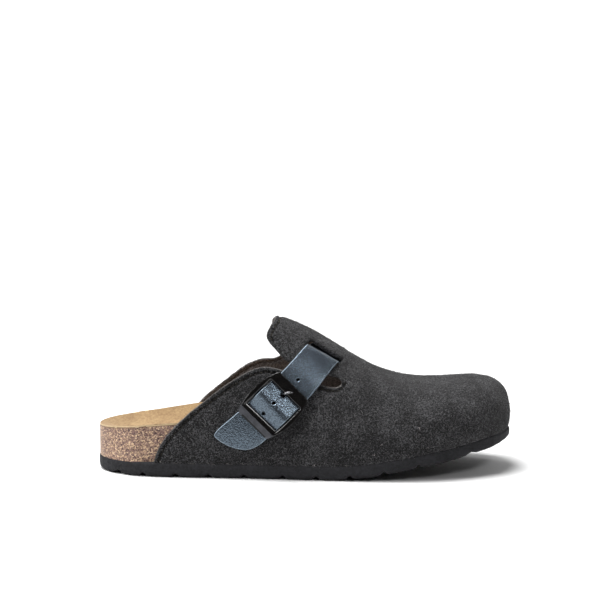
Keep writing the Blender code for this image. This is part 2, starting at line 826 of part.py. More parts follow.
def strap_edges():
    """The strap's rear and front edge as functions of the reach."""
    rear = smooth_path([(row.reach, row.rear / 100 * STRAP_WIDTH / 2) for row in STRAP_SIDES])
    front = smooth_path([(row.reach, row.front / 100 * STRAP_WIDTH / 2) for row in STRAP_SIDES])
    return [lambda reach, path=path: float(np.interp(reach, *path.T)) for path in (rear, front)]


def build_strap(parts, cutters):
    straight = np.linspace(STRAP_START, STRAP_END - STRAP_TIP, STRAP_RINGS)
    turns = np.linspace(0, math.pi / 2, TIP_RINGS)[1:]
    rounded = [STRAP_END - STRAP_TIP * (1 - math.sin(t)) for t in turns]
    rear_edge, front_edge = strap_edges()
    shares = [0.0, 0.25, 0.5, 0.75, 1.0]
    rings = []
    for reach in [*straight, *rounded]:
        rear, front = rear_edge(reach), front_edge(reach)
        under, over = [], []
        for share in shares:
            w = front + (rear - front) * share
            lift = strap_lift(reach, w)
            under.append(on_felt(reach, w, lift))
            over.append(on_felt(reach, w, lift + STRAP_LEATHER))
        rings.append(under + over[::-1])
    leather = material("blue_grey_leather", (0.07, 0.10, 0.135), 0.4)
    strap = add_object("strap", lofted(rings), parts, leather)
    for number, reach in enumerate(STRAP_HOLES):
        cut(strap, hole_cutter(f"strap_hole_{number}", reach, HOLE_RADIUS, cutters))
    prong_at = BUCKLE_AT + PRONG_HOLE
    cut(strap, hole_cutter("prong_hole", prong_at, PRONG_HOLE_RADIUS, cutters))
    return strap


def frame_outline(low, high_end, half_width, bow, corner):
    """Points round a bowed rectangle: low bar, side rail, high bar, side rail."""
    points = []
    bars = np.linspace(-1, 1, BAR_POINTS) * (half_width - corner)
    rails = np.linspace(low + corner, high_end - corner, RAIL_POINTS)

    def rail_at(u):
        share = (2 * u - low - high_end) / (high_end - low)
        return half_width + bow * (1 - share**2)

    tuck = corner * CORNER_TUCK
    points += [(low, w) for w in bars]
    points += [(low + tuck, half_width - tuck)]
    points += [(u, rail_at(u)) for u in rails]
    points += [(high_end - tuck, half_width - tuck)]
    points += [(high_end, -w) for w in bars]
    points += [(high_end - tuck, -half_width + tuck)]
    points += [(u, -rail_at(u)) for u in reversed(rails)]
    points += [(low + tuck, -half_width + tuck)]
    return points


def frame_low(reach):
    """Underside of the frame: level over the strap at both bars, dipped between them."""
    return FRAME_LOW + FRAME_LIFT * eased(abs(reach), FRAME_DIP, FRAME_LENGTH / 2 - LOWER_BAR)


def build_buckle_frame(parts, cutters):
    half = FRAME_LENGTH / 2
    outer = frame_outline(-half, half, FRAME_WIDTH / 2, FRAME_BOW, FRAME_CORNER)
    crest = frame_outline(
        -half + UPPER_FACE, half - LOWER_FACE, CREST_WIDTH / 2, CREST_BOW, CREST_CORNER
    )
    inner = frame_outline(
        -half + UPPER_BAR, half - LOWER_BAR, WINDOW_WIDTH / 2, 0.0, WINDOW_CORNER
    )
    rings = []
    for (u, w), (cu, cw), (iu, iw) in zip(outer, crest, inner):
        rings.append(
            [
                on_plate(u, w, frame_low(u)),
                on_plate(u, w, FRAME_TOP),
                on_plate(cu, cw, FRAME_TOP),
                on_plate(iu, iw, FRAME_TOP - WINDOW_FALL),
                on_plate(iu, iw, frame_low(iu)),
            ]
        )
    metal = material("black_metal", (0.012, 0.012, 0.013), 0.22, 0.9)
    frame = add_object("buckle_frame", lofted(rings, wrap=True), parts, metal)
    edges = frame.modifiers.new("rounded edges", "BEVEL")
    edges.width = EDGE_ROUNDING * METRES
    edges.segments = 2
    edges.angle_limit = SHARP_ANGLE
    middle, length = on_plate(0.0, 0.0, PIVOT_UP), WINDOW_WIDTH + 2 * PIVOT_SEAT
    way = on_plate(0.0, 1.0, PIVOT_UP) - middle
    bar = cylinder(middle, way, PIVOT_RADIUS, length)
    pivot = add_cutter("pivot_bar", bar, cutters)
    joined = frame.modifiers.new("pivot bar", "BOOLEAN")
    joined.operation = "UNION"
    joined.solver = "EXACT"
    joined.object = pivot
    return frame


def build_prong(parts):
    rows = smooth_path([tuple(row) for row in PRONG], steps=2)
    turns = [2 * math.pi * (n + 0.5) / PRONG_SIDES for n in range(PRONG_SIDES)]
    rings = []
    for i, (u, aside, up, width, thick) in enumerate(rows):
        before, after = rows[max(0, i - 1)], rows[min(len(rows) - 1, i + 1)]
        way = Vector((after[0] - before[0], after[2] - before[2])).normalized()
        ring = []
        for t in turns:
            off = thick / 2 * math.sin(t)
            wide = aside + width / 2 * math.cos(t)
            ring.append(on_plate(u - way.y * off, wide, up + way.x * off))
        rings.append(ring)
    steel = material("black_steel", (0.012, 0.012, 0.013), 0.22, 0.9)
    return add_object("buckle_prong", lofted(rings), parts, steel)


def main():
    for old in list(bpy.data.objects):
        bpy.data.objects.remove(old)
    parts, cutters = collection("clog"), collection("cutters")
    build_outsole(parts, cutters)
    build_footbed(parts)
    build_insole(parts)
    build_upper(parts, cutters)
    build_strap(parts, cutters)
    build_buckle_frame(parts, cutters)
    build_prong(parts)


if __name__ == "__main__":
    main()
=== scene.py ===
import math

import bmesh
import bpy
import numpy as np
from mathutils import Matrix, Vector
from mathutils.bvhtree import BVHTree
from mathutils.kdtree import KDTree


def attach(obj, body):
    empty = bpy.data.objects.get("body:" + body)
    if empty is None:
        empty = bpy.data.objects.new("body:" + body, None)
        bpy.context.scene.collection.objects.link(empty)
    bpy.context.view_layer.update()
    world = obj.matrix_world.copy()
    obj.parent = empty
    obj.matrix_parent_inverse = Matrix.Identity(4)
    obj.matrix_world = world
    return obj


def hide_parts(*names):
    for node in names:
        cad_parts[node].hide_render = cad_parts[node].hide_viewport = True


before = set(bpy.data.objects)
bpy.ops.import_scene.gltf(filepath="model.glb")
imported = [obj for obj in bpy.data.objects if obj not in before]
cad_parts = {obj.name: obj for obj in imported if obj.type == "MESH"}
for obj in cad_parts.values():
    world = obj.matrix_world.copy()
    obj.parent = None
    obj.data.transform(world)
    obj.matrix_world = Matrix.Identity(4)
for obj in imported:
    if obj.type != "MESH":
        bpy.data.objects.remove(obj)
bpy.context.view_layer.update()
mm = 0.001
print("frame loaded:", ", ".join(sorted(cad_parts)))


# shared tools

modelSet = {
    "merge": 0.005,  # mm, points of a node closer than this are one
    "quadTurn": (12, 60),  # degrees, how far two triangles of a quad may bend and skew
    "levels": 2,  # of Subdivision Surface
    "fitRounds": 3,  # trials that bring the rounded skin back onto the model's points
}


def toLinear(hexColour):
    shares = [int(hexColour[i:i + 2], 16) / 255 for i in (0, 2, 4)]
    return [s / 12.92 if s <= 0.04045 else ((s + 0.055) / 1.055) ** 2.4 for s in shares] + [1.0]


def perMetre(sizeMm):  # a texture scale that repeats about every sizeMm
    return 1 / (sizeMm * mm)


def addNode(tree, kind, settings=None, links=None):
    node = tree.nodes.new(kind)
    for name, value in (settings or {}).items():
        if name == "stops":
            while len(node.color_ramp.elements) < len(value):
                node.color_ramp.elements.new(0.5)
            for element, (place, hexColour) in zip(node.color_ramp.elements, value):
                element.position = place
                element.color = toLinear(hexColour)
        elif isinstance(name, int) or name in node.inputs:
            node.inputs[name].default_value = value
        else:
            setattr(node, name, value)
    for name, source in (links or {}).items():
        tree.links.new(source, node.inputs[name])
    return node


def startMaterial(name, surface):
    material = bpy.data.materials.new(name)
    material.use_nodes = True
    tree = material.node_tree
    shader = tree.nodes["Principled BSDF"]
    for socket, value in surface.items():
        shader.inputs[socket].default_value = value
    place = addNode(tree, "ShaderNodeTexCoord").outputs["Object"]
    return material, tree, shader, place


def takeUp(piece):  # the only selected and active object
    if bpy.context.object and bpy.context.object.mode != "OBJECT":
        bpy.ops.object.mode_set(mode="OBJECT")
    bpy.ops.object.select_all(action="DESELECT")
    piece.select_set(True)
    bpy.context.view_layer.objects.active = piece


def copyOf(node, pieceName):  # a node's triangles come apart, so the copy is merged first
    piece = bpy.data.objects.new(pieceName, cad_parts[node].data.copy())
    bpy.context.scene.collection.objects.link(piece)
    piece.data.materials.clear()
    takeUp(piece)
    bpy.ops.mesh.customdata_custom_splitnormals_clear()
    bpy.ops.object.mode_set(mode="EDIT")
    bpy.ops.mesh.select_all(action="SELECT")
    bpy.ops.mesh.remove_doubles(threshold=modelSet["merge"] * mm)
    bend, skew = (math.radians(d) for d in modelSet["quadTurn"])
    bpy.ops.mesh.tris_convert_to_quads(face_threshold=bend, shape_threshold=skew)
    bpy.ops.object.mode_set(mode="OBJECT")
    return piece


def creaseSharp(piece, degrees):
    takeUp(piece)
    bpy.ops.object.mode_set(mode="EDIT")
    bpy.ops.mesh.select_mode(type="EDGE")
    bpy.ops.mesh.select_all(action="DESELECT")
    bpy.ops.mesh.edges_select_sharp(sharpness=math.radians(degrees))
    bpy.ops.transform.edge_crease(value=1)
    bpy.ops.object.mode_set(mode="OBJECT")


def shape(piece, kind, **settings):
    takeUp(piece)
    modifier = piece.modifiers.new(kind.lower(), kind)
    for name, value in settings.items():
        setattr(modifier, name, value)
    bpy.ops.object.modifier_apply(modifier=modifier.name)


def roundOff(piece):  # a smooth skin that still passes through the model's own points
    wanted = pointsOf(piece)
    cage = wanted.copy()
    levels = modelSet["levels"]
    for _ in range(modelSet["fitRounds"]):
        trial = bpy.data.objects.new("trial", piece.data.copy())
        bpy.context.scene.collection.objects.link(trial)
        shape(trial, "SUBSURF", levels=levels, render_levels=levels)
        cage += wanted - pointsOf(trial)[:len(wanted)]
        bpy.data.objects.remove(trial)
        setPoints(piece, cage)
    shape(piece, "SUBSURF", levels=levels, render_levels=levels)


def readOut(items, field):  # one row of three for each item
    flat = np.empty(len(items) * 3, np.float32)
    items.foreach_get(field, flat)
    return flat.reshape(-1, 3).astype(float)


def pointsOf(piece):
    return readOut(piece.data.vertices, "co")


def normalsOf(piece):
    return readOut(piece.data.vertex_normals, "vector")


def setPoints(piece, points):
    piece.data.vertices.foreach_set("co", points.astype(np.float32).ravel())
    piece.data.update()


def facesOf(piece):  # middle and normal of each face
    return readOut(piece.data.polygons, "center"), readOut(piece.data.polygons, "normal")


def unit(vectors):
    return vectors / np.maximum(np.linalg.norm(vectors, axis=-1, keepdims=True), 1e-9)


def treeOf(piece, chosen=None):  # search tree of all faces, or of the chosen ones
    polygons = [p.vertices for p in piece.data.polygons if chosen is None or chosen[p.index]]
    return BVHTree.FromPolygons([v.co for v in piece.data.vertices], polygons)


def pointTree(points):
    near = KDTree(len(points))
    for i, p in enumerate(points):
        near.insert(p, i)
    near.balance()
    return near


def smoothPatches(piece, sharpDegrees):
    # a patch is bounded by sharp edges, patch 0 has the largest area, and the areas come along
    shell = bmesh.new()
    shell.from_mesh(piece.data)
    shell.faces.ensure_lookup_table()
    patch = np.full(len(shell.faces), -1)
    areas = []
    for seed in shell.faces:
        if patch[seed.index] >= 0:
            continue
        patch[seed.index] = len(areas)
        area, waiting = 0.0, [seed]
        while waiting:
            face = waiting.pop()
            area += face.calc_area()
            for edge in face.edges:
                if edge.calc_face_angle(math.pi) < math.radians(sharpDegrees):
                    for other in edge.link_faces:
                        if patch[other.index] < 0:
                            patch[other.index] = len(areas)
                            waiting.append(other)
        areas.append(area)
    shell.free()
    rank = np.argsort(np.argsort(-np.array(areas)))
    return rank[patch], -np.sort(-np.array(areas))


def patchOnto(piece, model, patches):  # each face takes the patch of the nearest face of the model
    tree = treeOf(model)
    return np.array([patches[tree.find_nearest(m)[2]] for m in facesOf(piece)[0]])


def settle(piece, node, reach, sink):  # closes the gap to the node that carries the piece
    carrier = treeOf(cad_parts[node])
    points = pointsOf(piece)
    gaps = np.array([carrier.find_nearest(p)[3] for p in points]) / mm
    points[:, 2] -= sink * mm * np.clip(1 - gaps / reach, 0, 1) ** 0.5
    setPoints(piece, points)


def pressIn(piece, line, ways, depth, width):  # a soft trough along a line, a ridge if depth is negative
    near = pointTree(line)
    points = pointsOf(piece)
    found = [near.find(p) for p in points]
    gaps = np.array([f[2] for f in found]) / mm
    along = ways[[f[1] for f in found]]
    setPoints(piece, points - along * (depth * mm * np.exp(-(gaps / width) ** 2))[:, None])


def scatter(name, template, origins, axisX, axisY, axisZ):
    # one joined mesh of a small shape in many places
    shapePoints, shapeFaces = template
    placed = (origins[:, None] + shapePoints[None, :, :1] * axisX[:, None]
              + shapePoints[None, :, 1:2] * axisY[:, None] + shapePoints[None, :, 2:] * axisZ[:, None])
    step = len(shapePoints)
    faces = [[i * step + v for v in f] for i in range(len(origins)) for f in shapeFaces]
    mesh = bpy.data.meshes.new(name)
    mesh.from_pydata(placed.reshape(-1, 3).tolist(), [], faces)
    piece = bpy.data.objects.new(name, mesh)
    bpy.context.scene.collection.objects.link(piece)
    return piece


def finishPiece(piece, materials, node=None, smoothDegrees=None):
    takeUp(piece)
    for material in materials:
        piece.data.materials.append(material)
    if smoothDegrees is None:
        bpy.ops.object.shade_smooth()
    else:
        bpy.ops.object.shade_smooth_by_angle(angle=math.radians(smoothDegrees))
    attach(piece, "root")
    if node:
        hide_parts(node)
    print(piece.name, len(piece.data.polygons), "faces")


# camera and studio

cameraSet = {
    "lens": 132,  # mm
    "sensor": 36,  # mm
    "picture": 600,  # pixels to each side
    "distance": 1400,  # mm to the aim
    "aim": (0, 0, 45),  # mm, a point in the shoe's middle
    "elevation": 10,  # degrees above the floor
    "aimPixel": 396.5,  # row of the picture that shows the aim
    "sidestep": -3.2,  # mm, the camera stands a little towards the heel
}


def focalPixels():
    return cameraSet["picture"] * cameraSet["lens"] / cameraSet["sensor"]


def placeCamera():
    data = bpy.data.cameras.new("camera")
    data.lens = cameraSet["lens"]
    data.sensor_width = cameraSet["sensor"]
    camera = bpy.data.objects.new("camera", data)
    bpy.context.scene.collection.objects.link(camera)
    rise = math.radians(cameraSet["elevation"])
    pitch = rise - math.atan((cameraSet["aimPixel"] - cameraSet["picture"] / 2) / focalPixels())
    away = Vector((0, -math.cos(rise), math.sin(rise))) * cameraSet["distance"]
    camera.location = (Vector(cameraSet["aim"]) + away + Vector((cameraSet["sidestep"], 0, 0))) * mm
    camera.rotation_euler = (math.pi / 2 - pitch, 0, 0)
    bpy.context.scene.camera = camera
    return camera


def seenAt(pixel, skin):  # place and outward way of the skin behind a pixel of the picture
    half, focal = cameraSet["picture"] / 2, focalPixels()
    turn = camera.rotation_euler.to_matrix()
    ray = turn @ Vector(((pixel[0] - half) / focal, (half - pixel[1]) / focal, -1))
    place, way, *_ = skin.ray_cast(camera.location, ray.normalized())
    return np.array(place), np.array(way)


studioSet = {
    "floorSize": 40,  # metres, past the edge of the view
    "floorDrop": 0.1,  # mm under the sole
    "paperTones": [(0, "c8c8c8"), (1, "cecece")],
    "skyRise": (0, 0.95, 0.22),  # the sky brightens upwards and behind the shoe
    "skyLift": 0.25,  # added along that way, before the tones
    "sky": [(0.0, "404042"), (0.3, "606062"), (0.62, "ffffff")],
    "skyStrength": 0.75,
    "backdrop": 1.2,  # strength of the white that the camera sees past the floor
    "overhead": (5.5, 30, (-0.24, 0.04, 1.0)),  # strength, degrees of softness, the way it stands
    "boxes": [  # name, place in m, aim in m, size in m, watts
        ("front", (0.58, -1.12, 1.0), (0, 0, 0.05), 0.3, 5.2),
        ("left", (-1.15, -0.7, 0.85), (0, 0, 0.05), 0.5, 16),
        ("back", (-0.4, 1.07, 0.95), (0, 0, 0.05), 0.3, 5),
    ],
}


def buildStudio():
    takeUp(camera)
    drop = studioSet["floorDrop"] * mm
    bpy.ops.mesh.primitive_plane_add(size=studioSet["floorSize"], location=(0, 0, -drop))
    floor = bpy.context.object
    floor.name = "floor"
    bpy.ops.object.transform_apply(location=True, rotation=True, scale=True)
    # matt paper, a clean pale ground with a soft shadow
    paper, tree, shader, place = startMaterial("mattPaper", {"Roughness": 0.9, "Specular IOR Level": 0.1})
    speck = addNode(tree, "ShaderNodeTexNoise", {"Scale": perMetre(3), "Detail": 2}, {"Vector": place})
    tone = addNode(tree, "ShaderNodeValToRGB", {"stops": studioSet["paperTones"]},
                   {"Fac": speck.outputs["Fac"]})
    tree.links.new(tone.outputs["Color"], shader.inputs["Base Color"])
    floor.data.materials.append(paper)

    world = bpy.data.worlds.new("studio")
    world.use_nodes = True
    tree = world.node_tree
    way = addNode(tree, "ShaderNodeTexCoord").outputs["Generated"]
    rise = addNode(tree, "ShaderNodeVectorMath", {"operation": "DOT_PRODUCT", 1: studioSet["skyRise"]},
                   {0: way})
    lifted = addNode(tree, "ShaderNodeMath", {"operation": "ADD", 1: studioSet["skyLift"]},
                     {0: rise.outputs["Value"]})
    tone = addNode(tree, "ShaderNodeValToRGB", {"stops": studioSet["sky"]}, {"Fac": lifted.outputs["Value"]})
    sky = tree.nodes["Background"]
    sky.inputs["Strength"].default_value = studioSet["skyStrength"]
    tree.links.new(tone.outputs["Color"], sky.inputs["Color"])
    white = addNode(tree, "ShaderNodeBackground", {
        "Color": toLinear("ffffff"), "Strength": studioSet["backdrop"]})
    seen = addNode(tree, "ShaderNodeLightPath")
    both = addNode(tree, "ShaderNodeMixShader", links={
        0: seen.outputs["Is Camera Ray"], 1: sky.outputs["Background"], 2: white.outputs["Background"]})
    tree.links.new(both.outputs["Shader"], tree.nodes["World Output"].inputs["Surface"])
    bpy.context.scene.world = world

    strength, soft, stands = studioSet["overhead"]
    sun = bpy.data.lights.new("overhead", "SUN")
    sun.energy = strength
    sun.angle = math.radians(soft)
    light = bpy.data.objects.new("overhead", sun)
    bpy.context.scene.collection.objects.link(light)
    light.location = stands
    light.rotation_euler = (-Vector(stands)).to_track_quat("-Z", "Y").to_euler()
    for name, place, aim, size, watts in studioSet["boxes"]:
        data = bpy.data.lights.new(name, "AREA")
        data.size = size
        data.energy = watts
        light = bpy.data.objects.new(name, data)
        bpy.context.scene.collection.objects.link(light)
        light.location = place
        light.rotation_euler = (Vector(aim) - Vector(place)).to_track_quat("-Z", "Y").to_euler()
    bpy.context.scene.view_settings.view_transform = "Standard"
    print("studio set")


# materials

def makeFelt(name, dark, middle, light, sheen):
    # boiled wool felt, matted fibres that scatter light and lift a pale bloom at grazing angles,
    # drawn as nubs and fuzz because a single fibre is too fine to show
    felt, tree, shader, place = startMaterial(name, {
        "Roughness": 0.95, "Specular IOR Level": 0.15, "Sheen Weight": sheen,
        "Sheen Roughness": 0.55, "Sheen Tint": toLinear("b6b4b4")})
    nubs = addNode(tree, "ShaderNodeTexNoise", {
        "Scale": perMetre(0.85), "Detail": 2, "Roughness": 0.65, "Distortion": 0.9}, {"Vector": place})
    fuzz = addNode(tree, "ShaderNodeTexNoise", {
        "Scale": perMetre(0.35), "Detail": 2, "Roughness": 0.6, "Distortion": 0.4}, {"Vector": place})
    cloud = addNode(tree, "ShaderNodeTexNoise", {
        "Scale": perMetre(14), "Detail": 2, "Roughness": 0.6}, {"Vector": place})
    mixed = addNode(tree, "ShaderNodeMath", {"operation": "MULTIPLY_ADD", 1: 0.45},
                    {0: fuzz.outputs["Fac"], 2: nubs.outputs["Fac"]})
    tone = addNode(tree, "ShaderNodeMath", {"operation": "MULTIPLY_ADD", 1: 0.25},
                   {0: cloud.outputs["Fac"], 2: mixed.outputs["Value"]})
    colour = addNode(tree, "ShaderNodeValToRGB", {"stops": [(0.7, dark), (0.86, middle), (1.0, light)]},
                     {"Fac": tone.outputs["Value"]})
    tree.links.new(colour.outputs["Color"], shader.inputs["Base Color"])
    bump = addNode(tree, "ShaderNodeBump", {"Strength": 1.0, "Distance": 1.0 * mm},
                   {"Height": mixed.outputs["Value"]})
    tree.links.new(bump.outputs["Normal"], shader.inputs["Normal"])
    return felt


def makeCork():
    # pressed cork granules under a thin clear sealer: tan and brown chips with dark bark flecks
    cork, tree, shader, place = startMaterial("pressedCork", {"Roughness": 0.6, "Specular IOR Level": 0.35})
    chips = addNode(tree, "ShaderNodeTexVoronoi", {"Scale": perMetre(0.62), "Randomness": 1.0},
                    {"Vector": place})
    chipTone = addNode(tree, "ShaderNodeSeparateColor", links={"Color": chips.outputs["Color"]})
    colour = addNode(tree, "ShaderNodeValToRGB", {"stops": [
        (0.0, "33242a"), (0.16, "503b36"), (0.34, "70574e"),
        (0.62, "80685e"), (0.82, "a4876b"), (0.96, "cab08f")]}, {"Fac": chipTone.outputs["Red"]})
    tree.links.new(colour.outputs["Color"], shader.inputs["Base Color"])
    bump = addNode(tree, "ShaderNodeBump", {"Strength": 0.5, "Distance": 0.25 * mm},
                   {"Height": chips.outputs["Distance"]})
    tree.links.new(bump.outputs["Normal"], shader.inputs["Normal"])
    return cork


def makeSuede(name, dark, light):
    # split suede, a short soft nap that mottles where it is brushed
    suede, tree, shader, place = startMaterial(name, {
        "Roughness": 0.92, "Specular IOR Level": 0.15, "Sheen Weight": 0.2, "Sheen Roughness": 0.5,
        "Sheen Tint": toLinear("f0e2cc")})
    nap = addNode(tree, "ShaderNodeTexNoise", {
        "Scale": perMetre(1.6), "Detail": 4, "Roughness": 0.75}, {"Vector": place})
    rubbed = addNode(tree, "ShaderNodeTexNoise", {
        "Scale": perMetre(11), "Detail": 3, "Roughness": 0.6}, {"Vector": place})
    tone = addNode(tree, "ShaderNodeMath", {"operation": "MULTIPLY_ADD", 1: 0.5},
                   {0: rubbed.outputs["Fac"], 2: nap.outputs["Fac"]})
    colour = addNode(tree, "ShaderNodeValToRGB", {"stops": [(0.5, dark), (1.0, light)]},
                     {"Fac": tone.outputs["Value"]})
    tree.links.new(colour.outputs["Color"], shader.inputs["Base Color"])
    bump = addNode(tree, "ShaderNodeBump", {"Strength": 0.5, "Distance": 0.35 * mm},
                   {"Height": nap.outputs["Fac"]})
    tree.links.new(bump.outputs["Normal"], shader.inputs["Normal"])
    return suede


def makeFoamRubber():
    # moulded closed-cell foam, near black with a dull skin of pebbles, drawn coarse so that they show
    foam, tree, shader, place = startMaterial("mouldedFoamRubber", {
        "Roughness": 0.8, "Specular IOR Level": 0.25})
    pebbles = addNode(tree, "ShaderNodeTexNoise", {
        "Scale": perMetre(1.3), "Detail": 2, "Roughness": 0.6}, {"Vector": place})
    dust = addNode(tree, "ShaderNodeTexNoise", {
        "Scale": perMetre(7), "Detail": 3, "Roughness": 0.6}, {"Vector": place})
    tone = addNode(tree, "ShaderNodeMath", {"operation": "MULTIPLY_ADD", 1: 0.6},
                   {0: dust.outputs["Fac"], 2: pebbles.outputs["Fac"]})
    colour = addNode(tree, "ShaderNodeValToRGB", {"stops": [(0.6, "121214"), (1.0, "222225")]},
                     {"Fac": tone.outputs["Value"]})
    tree.links.new(colour.outputs["Color"], shader.inputs["Base Color"])
    bump = addNode(tree, "ShaderNodeBump", {"Strength": 0.8, "Distance": 0.5 * mm},
                   {"Height": pebbles.outputs["Fac"]})
    tree.links.new(bump.outputs["Normal"], shader.inputs["Normal"])
    return foam


def makeLeather(name, dark, light, rough, coat):
    # grained cowhide with a polished finish, the pebbled grain breaks its highlights up
    leather, tree, shader, place = startMaterial(name, {
        "Roughness": rough, "IOR": 1.85, "Specular Tint": toLinear("cee8ff"),
        "Coat Weight": coat, "Coat Roughness": 0.2})
    grain = addNode(tree, "ShaderNodeTexVoronoi", {"Scale": perMetre(0.7), "feature": "SMOOTH_F1"},
                    {"Vector": place})
    wrinkles = addNode(tree, "ShaderNodeTexNoise", {
        "Scale": perMetre(0.7), "Detail": 2, "Roughness": 0.65, "Distortion": 0.8}, {"Vector": place})
    cloud = addNode(tree, "ShaderNodeTexNoise", {
        "Scale": perMetre(6), "Detail": 3, "Roughness": 0.6}, {"Vector": place})
    colour = addNode(tree, "ShaderNodeValToRGB", {"stops": [(0.3, dark), (0.7, light)]},
                     {"Fac": cloud.outputs["Fac"]})
    tree.links.new(colour.outputs["Color"], shader.inputs["Base Color"])
    gloss = addNode(tree, "ShaderNodeValToRGB", {"stops": [(0.2, "ffffff"), (0.62, "a4a4a4")]},
                    {"Fac": grain.outputs["Distance"]})  # the polish misses the creases of the grain
    tree.links.new(gloss.outputs["Color"], shader.inputs["Specular IOR Level"])
    relief = addNode(tree, "ShaderNodeMath", {"operation": "MULTIPLY_ADD", 1: 0.35},
                     {0: wrinkles.outputs["Fac"], 2: grain.outputs["Distance"]})
    bump = addNode(tree, "ShaderNodeBump", {"Strength": 0.8, "Distance": 0.17 * mm},
                   {"Height": relief.outputs["Value"]})
    tree.links.new(bump.outputs["Normal"], shader.inputs["Normal"])
    tree.links.new(bump.outputs["Normal"], shader.inputs["Coat Normal"])
    return leather


def makeMetal(name, dark, light, metallic, rough):
    # die-cast metal under lacquer, smooth with faint waviness in its reflections
    metal, tree, shader, place = startMaterial(name, {"Metallic": metallic, "Roughness": rough})
    wave = addNode(tree, "ShaderNodeTexNoise", {
        "Scale": perMetre(4), "Detail": 2, "Roughness": 0.6}, {"Vector": place})
    colour = addNode(tree, "ShaderNodeValToRGB", {"stops": [(0.35, dark), (0.65, light)]},
                     {"Fac": wave.outputs["Fac"]})
    tree.links.new(colour.outputs["Color"], shader.inputs["Base Color"])
    bump = addNode(tree, "ShaderNodeBump", {"Strength": 0.08, "Distance": 0.2 * mm},
                   {"Height": wave.outputs["Fac"]})
    tree.links.new(bump.outputs["Normal"], shader.inputs["Normal"])
    return metal


charcoalFelt = makeFelt("boiledWoolFelt", "040405", "111112", "4e4e50", 0.15)
grooveShadeFelt = makeFelt("grooveShadeFelt", "030303", "070708", "131314", 0.02)  # painted shade for the stitch grooves: much darker than the felt, flattened, almost no bloom
looseWool = makeFelt("looseWoolFibre", "2a292a", "4a494a", "747374", 0.2)  # single fibres catch more light
liningFelt = makeFelt("brushedWoolLining", "363231", "514b49", "766e6b", 0.1)  # browner and paler inside
cutFelt = makeFelt("cutFeltEdge", "2a2928", "474543", "706c69", 0.2)  # paler than the outside: a painted highlight where the cut edges face up or sideways, partly a paler core
paleLint = makeFelt("paleLint", "8a8180", "a69c9b", "c8c0be", 0.2)
pressedCork = makeCork()
tanSuede = makeSuede("splitSuede", "6c533b", "97805d")
paleSuede = makeSuede("cutSuedeEdge", "a08b6c", "bfaa88")  # the raw edge catches the light
brownSuede = makeSuede("skivedSuedeEdge", "5a463a", "7a6352")  # thinned and dark where it is glued down
foamRubber = makeFoamRubber()
slateLeather = makeLeather("grainedCowhide", "191b1e", "23262a", 0.27, 0.15)
leatherEdge = makeLeather("cutCowhideEdge", "586168", "727c84", 0.6, 0.0)  # bare cut fibres, dull and pale
blackLacquer = makeMetal("lacqueredDieCast", "070606", "0d0c0b", 0.0, 0.14)
shadowLineLacquer = makeMetal("shadowLineLacquer", "030303", "070707", 0.0, 0.9)  # painted shadow: the dark line the lower bar casts on the strap's tail, matt so it takes no highlight
gunmetal = makeMetal("satinGunmetal", "36373b", "45464b", 0.5, 0.45)  # a soft grey sheen
darkChrome = makeMetal("blackChrome", "4a4a4c", "6a6a6c", 1.0, 0.14)  # a dark mirror
waxedThread = makeSuede("waxedThread", "050505", "101010")  # twisted thread is as dull as a nap
liningThread = makeSuede("spunThread", "2c2827", "3c3735")
print("materials made")


# felt upper

feltSet = {
    "sharp": 35,  # degrees, where the wall's cut edges turn
    "grid": 0.95,  # mm between points of the felted skin
    "relax": 4,  # rounds of smoothing
    "lumps": (0.5, 9),  # mm high, mm across
    "nubs": (0.3, 2.6),
    "edgeStep": 1.0,  # mm between points of a cut edge or a crease
    "rowStep": 0.4,  # mm between points of a stitch row
    "endsApart": 1,  # mm, an edge whose ends are closer is a hole and stays unstitched
    "hiddenEdge": -0.6,  # a cut face that points further down lies on the sole
    "tuckedEdge": -0.3,  # and one that points further down than this keeps the outside's colour, without the painted edge highlight
    "rowLength": 20,  # mm, shorter edges stay unstitched
    "stitchInset": 2.9,  # mm from the cut edge
    "stitchPitch": 3.3,
    "stitchSize": (1.3, 0.5, 0.3),  # mm, half length, half width, half height
    "grooveDepth": 1.0,
    "grooveWidth": 1.0,
    "seam": 0.85,  # mm to each side of the row where the groove is painted dark as shade
    "rimArea": 90,  # mm2, a smaller cut face belongs to the strap's slot
    "sink": (3.5, 1.2),  # mm, how far up the felt is drawn down, and by how much
    "creases": [  # pixels it runs through, mm deep (a ridge is negative), mm wide
        ([(409, 427), (440, 416), (470, 408), (496, 403)], -0.7, 8),  # shoulder of the toe
        ([(455, 434), (475, 430), (490, 425), (503, 417)], 0.8, 5),  # fold under it
        ([(347, 366), (331, 390), (313, 408), (300, 424), (287, 437)], 1.2, 4.5),  # beside the strap
        ([(334, 389), (343, 387), (353, 386)], -0.4, 2),  # lip of the slit
    ],
    "creaseSoften": (8, 20),  # rounds for its line, and for the way it is pressed
    "edgeSoften": (6, 4),  # rounds for an edge or a row, and for the way off the skin
}
outside, lining, cutEdge, grooveShadeRow, slotWall = range(5)  # the felt's kinds of face


def runsAlong(model, patches, patch):  # lines of points along the patch's cut edges
    shell = bmesh.new()
    shell.from_mesh(model.data)
    shell.verts.ensure_lookup_table()
    nextTo = {}
    for edge in shell.edges:
        sides = sorted(edge.link_faces, key=lambda f: patches[f.index] != patch)
        onPatch = [patches[f.index] == patch for f in sides]
        if onPatch == [True, False] and sides[1].normal.z > feltSet["hiddenEdge"]:
            a, b = (v.index for v in edge.verts)
            nextTo.setdefault(a, []).append(b)
            nextTo.setdefault(b, []).append(a)
    runs = []
    while nextTo:
        here = min(nextTo, key=lambda v: (len(nextTo[v]), v))
        run = [here]
        while nextTo.get(here):
            there = nextTo[here].pop(0)
            nextTo[there].remove(here)
            run.append(there)
            here = there
        nextTo = {v: ends for v, ends in nextTo.items() if ends}
        runs.append(np.array([shell.verts[v].co for v in run]))
    shell.free()
    return runs


def lengthOf(line):
    return np.linalg.norm(np.diff(line, axis=0), axis=1).sum()


